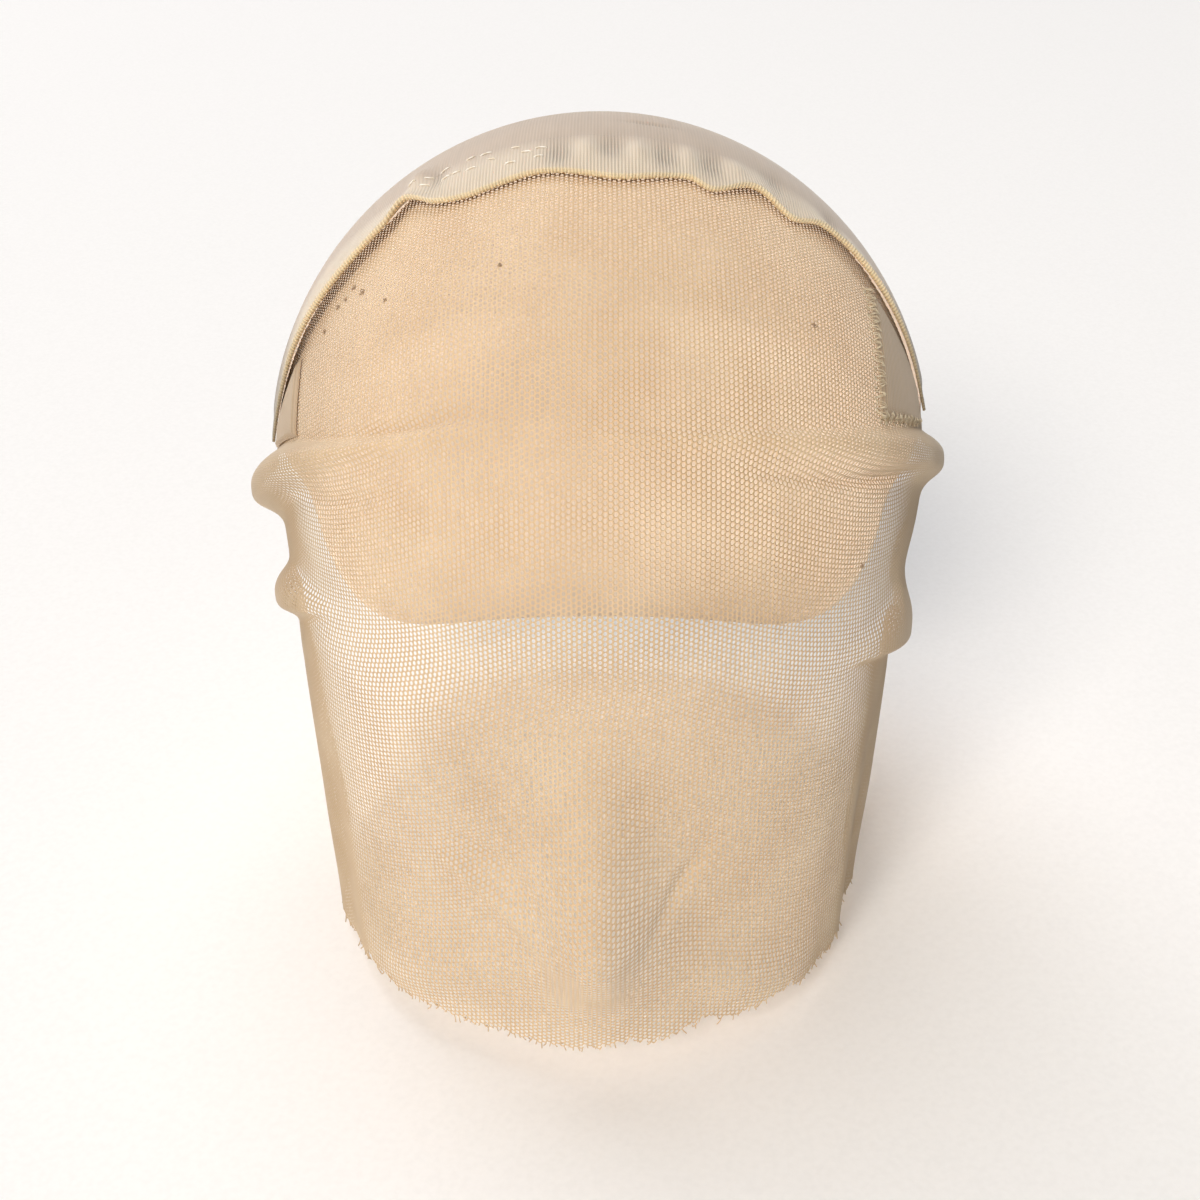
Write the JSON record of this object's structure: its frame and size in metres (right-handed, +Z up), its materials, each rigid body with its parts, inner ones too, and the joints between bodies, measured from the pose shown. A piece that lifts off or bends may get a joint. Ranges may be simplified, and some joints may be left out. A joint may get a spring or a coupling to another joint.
{
  "type": "lace front wig cap",
  "caption": "Worn wig cap: stretch-knit crown with a turned, wavy front hem, and a sheet of fine hexagonal net that hangs from it over forehead and face.",
  "frame": {"origin": "middle of the crown's inside, where the top of a head bears", "axes": "+Z up out of the crown, -Y toward the face, +X to the wearer's left"},
  "size_m": [0.1593, 0.2073, 0.1847],
  "materials": {
    "crown_knit": "fine stretch rib knit, matt",
    "hem_knit": "doubled rib knit with a cream edge",
    "lace_net": "fine hexagonal net, matt thread",
    "panel_knit": "fine stretch rib knit, matt",
    "sewing_thread": "spun sewing thread, off-white"
  },
  "bodies": {
    "root": {"crown_cap": "crown_knit", "front_hem": "hem_knit", "lace_front": "lace_net", "side_panel_left": "panel_knit", "side_panel_right": "panel_knit"}
  },
  "joints": []
}
